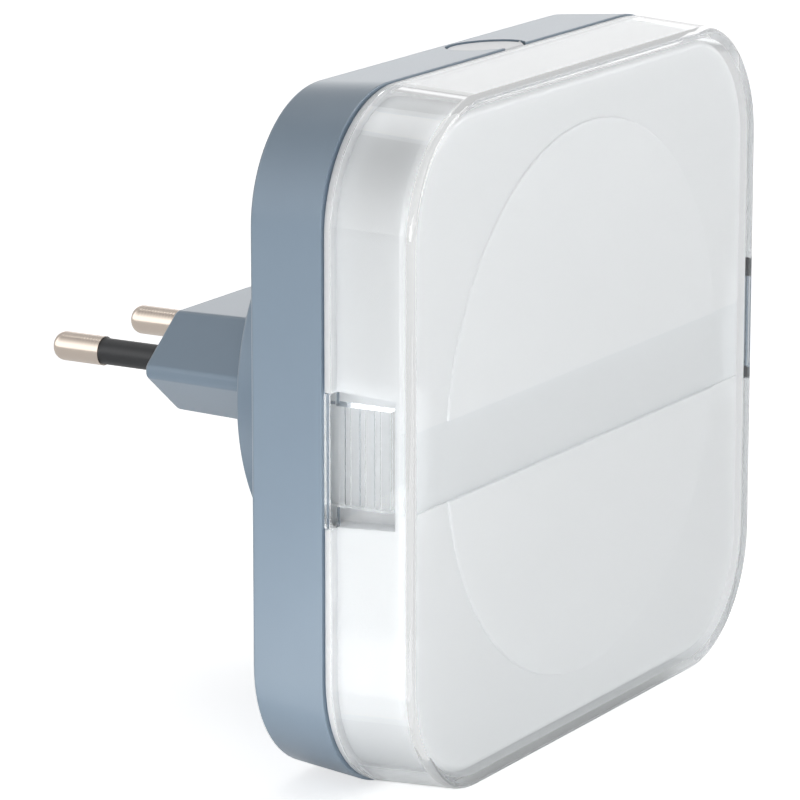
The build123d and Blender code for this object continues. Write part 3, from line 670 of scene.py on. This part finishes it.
# ---------------------------------------------------------------- push switch
# Small push switch below the button: a black moulded base, closed by a stamped steel plate on its
# top, and a tan acetal plunger that springs back after each press.
plate_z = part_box("tact_switch")[1].z - 0.3 * MM
switch_case = new_material("switch_base_and_steel_plate")
place = add_node(switch_case, "TexCoord", {}).outputs["Object"]
part = add_node(switch_case, "SeparateXYZ", {"Vector": place})
grain = add_node(switch_case, "TexNoise", {"Vector": place, "Scale": 1 / (0.2 * MM)})
steel = add_node(switch_case, "Math", {0: part.outputs["Z"], 1: plate_z}, operation="GREATER_THAN")
tone = add_node(switch_case, "Mix", {"Factor": steel, 6: "#1b1c1e", 7: "#c2c4c6"}, data_type="RGBA")
rough = add_node(switch_case, "MapRange", {"Value": grain, "To Min": 0.3, "To Max": 0.5})
bump = add_node(switch_case, "Bump", {"Height": grain, "Distance": 0.008 * MM})
shader = add_node(switch_case, "BsdfPrincipled", {"Base Color": tone, "Roughness": rough, "Normal": bump,
                                                  "Metallic": steel})
add_node(switch_case, "OutputMaterial", {"Surface": shader})
finish_part("tact_switch", switch_case)

acetal = new_material("tan_acetal_moulded")
place = add_node(acetal, "TexCoord", {}).outputs["Object"]
flow = add_node(acetal, "TexNoise", {"Vector": place, "Scale": 1 / (0.6 * MM)})
tone = add_node(acetal, "Mix", {"Factor": flow, 6: "#8f7050", 7: "#a08161"}, data_type="RGBA")
shader = add_node(acetal, "BsdfPrincipled", {"Base Color": tone, "Roughness": 0.38, "IOR": 1.48})
add_node(acetal, "OutputMaterial", {"Surface": shader})
finish_part("switch_plunger", acetal)


# ---------------------------------------------------------------- push button
# Small round cap in the top wall, moulded in white ABS with a semi-gloss skin that catches one soft
# highlight. Two ears keep it in and a cross-ribbed stem reaches down to the switch. Its front is
# cut flat at the light box.
button_white = new_material("button_white_abs")
place = add_node(button_white, "TexCoord", {}).outputs["Object"]
grain = add_node(button_white, "TexNoise", {"Vector": place, "Scale": 1 / (0.4 * MM)})
tone = add_node(button_white, "Mix", {"Factor": grain, 6: "#f2f3f6", 7: "#f6f7f9"}, data_type="RGBA")
bump = add_node(button_white, "Bump", {"Height": grain, "Distance": 0.004 * MM})
shader = add_node(button_white, "BsdfPrincipled", {"Base Color": tone, "Roughness": 0.3, "Normal": bump,
                                                   "IOR": 1.53})
add_node(button_white, "OutputMaterial", {"Surface": shader})
ear_half = 3 * MM
ear_height = 1 * MM
ear_corner = 1 * MM
ear_gap = 0.1 * MM
ear_lap = 0.01 * MM
cap_sink = 0.2 * MM
cap_edge = 0.25 * MM
cap_foot_z = body_height / 2 - wall_slope * (button_setback + ear_half) - housing_wall - ear_gap
cap_top_z = body_height / 2 - cap_sink
button = add_post("button_cap", button_x, button_y, cap_foot_z, cap_top_z, button_radius, 96)
mode("EDIT")
for cut_z, outwards in ((0, (0, -1, 0)), (cap_top_z, (0, wall_slope, 1))):
    bpy.ops.mesh.select_all(action="SELECT")
    bpy.ops.mesh.bisect(plane_co=(0, seam_y, cut_z), plane_no=outwards, clear_outer=True, use_fill=True)


def on_top_rim(edge):
    """A test for the edges round the cap's sloping top."""
    height = (edge.verts[0].co.z + edge.verts[1].co.z) / 2
    return height > cap_top_z - 1 * MM and not along(Z)(edge)


bevel(on_top_rim, cap_edge, 3)
mode("OBJECT")
ear_x = button_radius + 2.2 * MM
ears = add_box("ears", (button_x - ear_x, button_y - ear_half, cap_foot_z - ear_height),
               (button_x + ear_x, button_y + ear_half, cap_foot_z + ear_lap))
mode("EDIT")
bevel(along(Z), ear_corner, 6)
mode("OBJECT")
carve(button, ears, "UNION")
stem_half = 2.2 * MM
pad_height = 0.8 * MM
for half_x, half_y in ((stem_half, rib_half), (rib_half, stem_half)):
    carve(button, add_box("stem", (button_x - half_x, button_y - half_y, button_low.z + into),
                          (button_x + half_x, button_y + half_y, cap_foot_z)), "UNION")
pad = add_post("pad", button_x, button_y, button_low.z, button_low.z + pad_height, stem_half, 48)
carve(button, pad, "UNION")
smooth(button, button_white, "button", "button_white", "push_button")


# ---------------------------------------------------------------- reflector tray
# Reflector around the LEDs: white ABS filled with chalk, moulded matt so that it scatters the
# light evenly, with a window for each LED and a cone that opens to the light box.
chalk_white = new_material("white_filled_abs_matt")
place = add_node(chalk_white, "TexCoord", {}).outputs["Object"]
cloud = add_node(chalk_white, "TexNoise", {"Vector": place, "Scale": 1 / (12 * MM)})
tone = add_node(chalk_white, "Mix", {"Factor": cloud, 6: "#eeefee", 7: "#f5f5f4"}, data_type="RGBA")
grain = add_node(chalk_white, "TexNoise", {"Vector": place, "Scale": 1 / (0.25 * MM), "Detail": 2.0})
rough = add_node(chalk_white, "MapRange", {"Value": grain, "To Min": 0.55, "To Max": 0.7})
bump = add_node(chalk_white, "Bump", {"Height": grain, "Distance": 0.015 * MM})
shader = add_node(chalk_white, "BsdfPrincipled", {"Base Color": tone, "Roughness": rough, "Normal": bump,
                                                  "IOR": 1.53})
add_node(chalk_white, "OutputMaterial", {"Surface": shader})
finish_part("reflector_tray", chalk_white)


# ---------------------------------------------------------------- screws
# Pan-head self-tapping screws of steel, with a rolled thread and a pressed cross recess. Four hold
# the boss to the housing from inside, and four hold reflector and board on the posts. Their thin
# zinc gives a cool, slightly cloudy shine.
head_height = 1.7 * MM
head_edge = 0.68 * MM
neck_length = 0.1 * MM
thread_radius = 1.26 * MM
core_radius = 1.0 * MM
thread_pitch = 0.9 * MM
tip_length = 1.2 * MM
tip_share = 0.45
recess_reach = 1.35 * MM
recess_half = 0.275 * MM
recess_depth = 1.0 * MM
thread_turn = [(core_radius, 0.35 * thread_pitch), (thread_radius, 0.25 * thread_pitch),
               (thread_radius, 0.1 * thread_pitch), (core_radius, 0.3 * thread_pitch)]
zinc = new_material("steel_zinc_plated")
place = add_node(zinc, "TexCoord", {}).outputs["Object"]
cloud = add_node(zinc, "TexNoise", {"Vector": place, "Scale": 1 / (0.6 * MM), "Detail": 3.0})
tone = add_node(zinc, "Mix", {"Factor": cloud, 6: "#b9bdc4", 7: "#d3d5d6"}, data_type="RGBA")
rough = add_node(zinc, "MapRange", {"Value": cloud, "To Min": 0.24, "To Max": 0.42})
bump = add_node(zinc, "Bump", {"Height": cloud, "Distance": 0.005 * MM})
shader = add_node(zinc, "BsdfPrincipled", {"Base Color": tone, "Roughness": rough, "Normal": bump,
                                           "Metallic": 1.0})
add_node(zinc, "OutputMaterial", {"Surface": shader})
for node in ("base_screws", "board_screws"):
    screw_low, screw_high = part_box(node)
    screw_x = screw_high.x - head_radius
    screw_z = screw_high.z - head_radius
    under_head_y = screw_low.y + head_height
    turns = int((screw_high.y - under_head_y - tip_length) / thread_pitch)
    first = add_rod(node[:-1] + "_set", screw_x, screw_z, under_head_y, screw_low.y, head_radius, 48)
    mode("EDIT")
    bevel(at(Y, screw_low.y), head_edge, 6)
    choose("FACE", at(Y, under_head_y))
    push(0)
    scale_across(core_radius / head_radius, core_radius / head_radius, screw_x, screw_z)
    last_radius, here = core_radius, under_head_y
    for radius, rise in [(core_radius, neck_length)] + turns * thread_turn:
        push(rise)
        scale_across(radius / last_radius, radius / last_radius, screw_x, screw_z)
        last_radius, here = radius, here + rise
    push(screw_high.y - here)
    scale_across(tip_share, tip_share, screw_x, screw_z)
    mode("OBJECT")
    for half_x, half_z in ((recess_reach, recess_half), (recess_half, recess_reach)):
        carve(first, add_box("recess", (screw_x - half_x, screw_low.y - past, screw_z - half_z),
                             (screw_x + half_x, screw_low.y + recess_depth, screw_z + half_z)))
    copies = []
    for to_x, to_z in ((-2 * screw_x, 0), (-2 * screw_x, -2 * screw_z), (0, -2 * screw_z)):
        copy = first.copy()
        copy.data = first.data.copy()
        copy.location = (to_x, 0, to_z)
        bpy.context.collection.objects.link(copy)
        copies.append(copy)
    activate(copies[0])
    for copy in copies:
        copy.select_set(True)
    bpy.ops.object.transform_apply(location=True, rotation=True, scale=True)
    first.select_set(True)
    bpy.context.view_layer.objects.active = first
    bpy.ops.object.join()
    smooth(first, zinc, "lamp", "zinc_steel", node)


# ---------------------------------------------------------------- opal light box
# White opal acrylic box that spreads the light: its flange lies on the housing's rim, a shallow
# round field and a band cross its front, and each side has a recess for a hook of the cover.
# Moulded with a satin inside and a polished outside, so its edges glow softly.
opal_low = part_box("opal_diffuser")[0]
flange_rear_y = housing_low.y
flange_thickness = 0.9 * MM
flange_inset = 0.2 * MM
flange_front_y = flange_rear_y - flange_thickness
opal_wall = 1.3 * MM
opal_edge = 0.9 * MM
field_rise = 0.3 * MM
opal_front_y = opal_low.y + field_rise
cover_wall = 1.6 * MM
cover_draft = 0.65 * MM
opal_gap = 0.5 * MM
box_inset = cover_wall + opal_gap
box_depth = flange_front_y - opal_front_y


def draft_at(y):
    """How far the drafted walls have come in at this depth, from the seam on."""
    return cover_draft * (seam_y - y) / (seam_y - cover_low.y)


def scale_to(old_size, new_size):
    """Scales the selected faces from one width and height to another."""
    scale_across(new_size[0] / old_size[0], new_size[1] / old_size[1])


box_rear_inset = box_inset + draft_at(flange_front_y)
rear_size, front_size = shrunk(box_rear_inset), shrunk(box_inset + draft_at(opal_front_y))
opal = rounded_block("opal_box", flange_rear_y, flange_front_y, shrunk(flange_inset), shrunk(flange_inset),
                     corner_radius - flange_inset)
mode("EDIT")
choose("FACE", at(Y, flange_front_y))
bpy.ops.mesh.inset(thickness=box_rear_inset - flange_inset)
push(-box_depth)
scale_to(rear_size, front_size)
bevel(at(Y, opal_front_y), opal_edge, 5)
choose("FACE", at(Y, flange_rear_y))
bpy.ops.mesh.inset(thickness=box_rear_inset - flange_inset + opal_wall)
push(-(flange_thickness + box_depth - opal_wall))
scale_to(rear_size, front_size)
mode("OBJECT")

lip_wall = 1.05 * MM
lip_gap = 0.2 * MM
lip_end_y = seam_y + 1.8 * MM
lip_inset = housing_wall + lip_gap
lip_core_inset = lip_inset + lip_wall
lip = rounded_block("lip", lip_end_y, flange_rear_y - into, shrunk(lip_inset), shrunk(lip_inset),
                    corner_radius - lip_inset)
carve(lip, rounded_block("lip_inside", lip_end_y + past, flange_rear_y - past, shrunk(lip_core_inset),
                         shrunk(lip_core_inset), corner_radius - lip_core_inset))
button_room = button_radius + 3.2 * MM
carve(lip, add_box("button_room", (button_x - button_room, seam_y - bead_rise, 0),
                   (button_x + button_room, back_y, body_height)))
carve(opal, lip, "UNION")

field_radius = 36.5 * MM
field_edge = 0.25 * MM
field = add_rod("field", 0, 0, opal_front_y + into, opal_low.y, field_radius, 160)
mode("EDIT")
bevel(at(Y, opal_low.y), field_edge, 3)
mode("OBJECT")
carve(opal, field, "UNION")
band_half = 5.2 * MM
band_z = -0.8 * MM
band_depth = 0.3 * MM
carve(opal, add_box("band", (-body_width, cover_low.y, band_z - band_half),
                    (body_width, opal_front_y + band_depth, band_z + band_half)))

niche_half = 8.95 * MM
niche_z = 0.15 * MM
niche_draft = 0.75 * MM
niche_depth = 3.4 * MM
niche_front_y = opal_front_y + opal_wall
guide_x = body_width / 2 - box_inset - niche_depth
guide_half = niche_half + opal_wall - into
guide_end_y = flange_rear_y + 4 * MM
guide_root_y = flange_rear_y - 0.5 * MM
guide_lap = 0.05 * MM
wall_lap = 0.6 * MM


def niche_block(name, side, extra, reach, end_y):
    """Tapered block of a side recess, grown by extra, out to reach from the middle and back to end_y."""
    half = niche_half + extra
    block = side_box(name, side, (guide_x - extra, reach), (niche_front_y, end_y),
                     (niche_z - half, niche_z + half))
    mode("EDIT")
    choose("FACE", at(Y, niche_front_y))
    scale_across(1, (half - niche_draft) / half, 0, niche_z)
    mode("OBJECT")
    return block


for side in (-1, 1):
    carve(opal, niche_block("niche_wall", side, opal_wall, body_width / 2 - box_rear_inset - wall_lap,
                            flange_rear_y), "UNION")
    carve(opal, side_box("guide", side, (guide_x + into, guide_x - opal_wall + guide_lap),
                         (guide_root_y, guide_end_y), (niche_z - guide_half, niche_z + guide_half)), "UNION")
    carve(opal, niche_block("niche", side, 0, body_width, guide_end_y + past))

opal_white = new_material("opal_acrylic_satin")
place = add_node(opal_white, "TexCoord", {}).outputs["Object"]
cloud = add_node(opal_white, "TexNoise", {"Vector": place, "Scale": 1 / (30 * MM)})
tone = add_node(opal_white, "Mix", {"Factor": cloud, 6: "#f4f6f9", 7: "#f9fafc"}, data_type="RGBA")
part = add_node(opal_white, "SeparateXYZ", {"Vector": place})
# Across the front, the band is painted a shade darker than the rest of the box: this is painted shade, not a
# colour of the acrylic.
in_band = add_node(opal_white, "Math", {0: part.outputs["Z"], 1: band_z, 2: band_half}, operation="COMPARE")
at_front = add_node(opal_white, "Math", {0: part.outputs["Y"], 1: opal_front_y + 2 * band_depth},
                    operation="LESS_THAN")
band = add_node(opal_white, "Math", {0: in_band, 1: at_front}, operation="MULTIPLY")
tone = add_node(opal_white, "Mix", {"Factor": band, 6: tone, 7: "#f0f3f6"}, data_type="RGBA")
grain = add_node(opal_white, "TexNoise", {"Vector": place, "Scale": 1 / (0.5 * MM)})
bump = add_node(opal_white, "Bump", {"Height": grain, "Distance": 0.003 * MM})
shader = add_node(opal_white, "BsdfPrincipled", {"Base Color": tone, "Roughness": 0.32, "Normal": bump,
                                                 "IOR": 1.49, "Subsurface Weight": 0.7,
                                                 "Subsurface Radius": (1.0, 1.0, 1.0),
                                                 "Subsurface Scale": 4.5 * MM})
add_node(opal_white, "OutputMaterial", {"Surface": shader})
smooth(opal, opal_white, "lamp", "opal_white", "opal_diffuser")


# ---------------------------------------------------------------- clear cover
# Clear acrylic cover over the light box, moulded in a polished cavity. Two snap hooks on its side
# walls reach through the box's side recesses and catch in the housing's pockets.
cover_edge = 0.9 * MM
cover_inner_y = cover_low.y + cover_wall
rim_inset = draft_at(flange_front_y)
cover = rounded_block("clear_shell", flange_front_y, cover_low.y, shrunk(rim_inset), shrunk(cover_draft),
                      corner_radius - rim_inset)
mode("EDIT")
bevel(at(Y, cover_low.y), cover_edge, 6)
choose("FACE", at(Y, flange_front_y))
bpy.ops.mesh.inset(thickness=cover_wall)
push(cover_inner_y - flange_front_y)
scale_to(shrunk(cover_wall + rim_inset), shrunk(cover_wall + draft_at(cover_inner_y)))
mode("OBJECT")

hook_thickness = 1.5 * MM
hook_inner_x = hook_outer_x - hook_thickness
hook_tooth_x = hook_outer_x + barb
hook_ends_z = (hook_rise - hook_half, hook_rise + hook_half)
hook_root_y = niche_front_y + 0.3 * MM
wall_x = body_width / 2 - cover_draft - cover_wall + 0.2 * MM
skirt_half = niche_half - 0.4 * MM
groove_width = 0.8 * MM
groove_depth = 0.15 * MM
groove_pitch = 2.1 * MM
for side in (-1, 1):
    hook = side_box("hook", side, (hook_inner_x, wall_x + wall_lap), (hook_root_y, flange_rear_y),
                    hook_ends_z)
    carve(hook, side_box("leg", side, (hook_inner_x, hook_outer_x), (flange_rear_y - into, hook_tip_y),
                         hook_ends_z), "UNION")
    tooth = side_box("tooth", side, (hook_outer_x - into, hook_tooth_x),
                     (hook_tip_y - barb - catch, hook_tip_y), hook_ends_z)
    mode("EDIT")
    bevel(lambda edge: at(Y, hook_tip_y)(edge) and at(X, side * hook_tooth_x)(edge), barb, 1)
    mode("OBJECT")
    carve(hook, tooth, "UNION")
    for step in (0.7, 1.7, 2.7):
        groove_y = flange_rear_y - groove_pitch * step
        carve(hook, side_box("groove", side, (hook_inner_x - past, hook_inner_x + groove_depth),
                             (groove_y - groove_width, groove_y),
                             (hook_ends_z[0] - past, hook_ends_z[1] + past)))
    carve(cover, hook, "UNION")
    carve(cover, side_box("skirt", side, (wall_x - wall_lap, body_width / 2 - rim_inset),
                          (flange_front_y - into, flange_rear_y),
                          (niche_z - skirt_half, niche_z + skirt_half)), "UNION")

# The polish gives sharp, bright reflections along the edges, with the white box clear behind them.
# Light from the lamps passes the cover straight, and so does a ray that is caught inside its wall
# for more than three bounces, which keeps the edges light.
most_bounces = 3.0
clear = new_material("clear_acrylic_polished")
glass = add_node(clear, "BsdfPrincipled", {"Base Color": "#fdfeff", "Transmission Weight": 1.0,
                                           "Roughness": 0.02, "IOR": 1.49})
passing = add_node(clear, "BsdfTransparent", {"Color": "#fcfdfd"})
ray = add_node(clear, "LightPath", {}).outputs
to_lamp = add_node(clear, "Math", {0: ray["Is Shadow Ray"], 1: ray["Is Diffuse Ray"]}, operation="MAXIMUM")
trapped = add_node(clear, "Math", {0: ray["Ray Depth"], 1: most_bounces}, operation="GREATER_THAN")
straight = add_node(clear, "Math", {0: to_lamp, 1: trapped}, operation="MAXIMUM")
both = add_node(clear, "MixShader", {0: straight, 1: glass, 2: passing})
add_node(clear, "OutputMaterial", {"Surface": both})
smooth(cover, clear, "lamp", "clear_pmma", "clear_cover")


# ---------------------------------------------------------------- stage
# White floor under the lamp and a white paper sweep all round, as in a small light tent. Large soft
# lamps stand in front, above and behind on the right, two low fills stand on the left, and two
# cards on the floor throw light up at the slate wall and at the plug.
floor_size = 6
bpy.ops.object.select_all(action="DESELECT")
bpy.ops.mesh.primitive_plane_add(size=floor_size, location=(0, 0, cad_box[0][2]))
floor = bpy.context.object
floor.name = "floor"
seen_white = 0.65
floor_in_mirrors = 0.19
floor_white = new_material("floor_white")
matt = add_node(floor_white, "BsdfDiffuse", {"Color": "#f4f4f4"})
ray = add_node(floor_white, "LightPath", {}).outputs
mirrored = add_node(floor_white, "Math", {0: ray["Is Glossy Ray"], 1: ray["Is Transmission Ray"]},
                    operation="MAXIMUM")
seen = add_node(floor_white, "Math", {0: ray["Is Camera Ray"], 1: seen_white}, operation="MULTIPLY")
lift = add_node(floor_white, "Math", {0: mirrored, 1: floor_in_mirrors, 2: seen}, operation="MULTIPLY_ADD")
glow = add_node(floor_white, "Emission", {"Color": "#ffffff", "Strength": lift})
both = add_node(floor_white, "AddShader", {0: matt, 1: glow})
add_node(floor_white, "OutputMaterial", {"Surface": both})
floor.data.materials.append(floor_white)

studio = emptied(bpy.data.worlds.new("studio"))
bpy.context.scene.world = studio
ray = add_node(studio, "LightPath", {}).outputs
way = add_node(studio, "TexCoord", {}).outputs["Generated"]
part = add_node(studio, "SeparateXYZ", {"Vector": way}).outputs

# Matt surfaces get little light from the left of the sweep, more from the right, and an even share
# from overhead.
to_right = add_node(studio, "MapRange", {"Value": part["X"], "From Min": -0.3, "From Max": 0.3,
                                         "To Min": 0.05, "To Max": 0.8})
ceiling = add_node(studio, "MapRange", {"Value": part["Z"], "From Min": 0.4, "From Max": 0.6})
soft_light = add_node(studio, "Mix", {"Factor": ceiling, 2: to_right, 3: 0.22})

# Mirrors find the left of the sweep bright, and dimmer higher up, and the right of it even.
left_wall = add_node(studio, "MapRange", {"Value": part["Z"], "From Min": 0.45, "From Max": 0.85,
                                          "To Min": 1.8, "To Max": 0.4})
to_left = add_node(studio, "MapRange", {"Value": part["X"], "From Min": 0.05, "From Max": -0.05})
mirrored = add_node(studio, "Mix", {"Factor": to_left, 2: 0.6, 3: left_wall})

# The camera finds plain white paper, which is softer where the cover bends the view.
paper = add_node(studio, "MapRange", {"Value": ray["Is Camera Ray"], "To Min": seen_white, "To Max": 1.0})
room, sweep, backdrop = [add_node(studio, "Background", {"Color": "#ffffff", "Strength": strength})
                         for strength in (soft_light, mirrored, paper)]
seen = add_node(studio, "Math", {0: ray["Is Camera Ray"], 1: ray["Is Transmission Ray"]},
                operation="MAXIMUM")
both = add_node(studio, "MixShader", {0: ray["Is Glossy Ray"], 1: room, 2: sweep})
both = add_node(studio, "MixShader", {0: seen, 1: both, 2: backdrop})
add_node(studio, "OutputWorld", {"Surface": both})


def softbox(name, place, facing, size, power):
    """Rectangular lamp that faces a point. Low down and facing up, it does the work of a card."""
    bpy.ops.object.light_add(type="AREA", location=place)
    lamp = bpy.context.object
    lamp.name = name
    lamp.data.shape = "RECTANGLE"
    lamp.data.size, lamp.data.size_y = size
    lamp.data.energy = power
    lamp.visible_camera = False
    lamp.rotation_euler = (Vector(facing) - Vector(place)).to_track_quat("-Z", "Y").to_euler()


softbox("front_softbox", (0.6, -0.9, 0.15), (0, 0, 0), (0.6, 0.6), 4.4)
softbox("overhead_softbox", (0.1, 0.1, 0.9), (0, 0, 0), (0.7, 0.7), 2.2)
softbox("rim_softbox", (1.0, 0.6, 0.28), (0, 0, 0), (0.9, 0.5), 0.8)
softbox("left_fill", (-0.8, -0.6, 0.1), (0, 0, 0), (0.5, 0.3), 1.45)
softbox("left_low_fill", (-0.9, -0.35, 0.06), (0, 0, 0), (0.5, 0.2), 1.8)
softbox("near_card", (-0.085, -0.02, -0.044), (-0.085, -0.02, 1), (0.06, 0.14), 0.024)
softbox("floor_card", (-0.14, -0.12, -0.0435), (-0.14, -0.12, 1), (0.13, 0.3), 0.14)

azimuth = radians(-59.54)
elevation = radians(13.5)
distance = 642.4 * MM
aim = Vector((-3.04, -10.85, -3.0)) * MM
back = Vector((sin(azimuth) * cos(elevation), -cos(azimuth) * cos(elevation), sin(elevation)))
bpy.ops.object.camera_add(location=aim + back * distance, rotation=(radians(90) - elevation, 0, azimuth))
camera = bpy.context.object
camera.data.lens = 218.7
camera.data.clip_end = 20
bpy.context.scene.camera = camera
bpy.context.scene.view_settings.view_transform = "Standard"
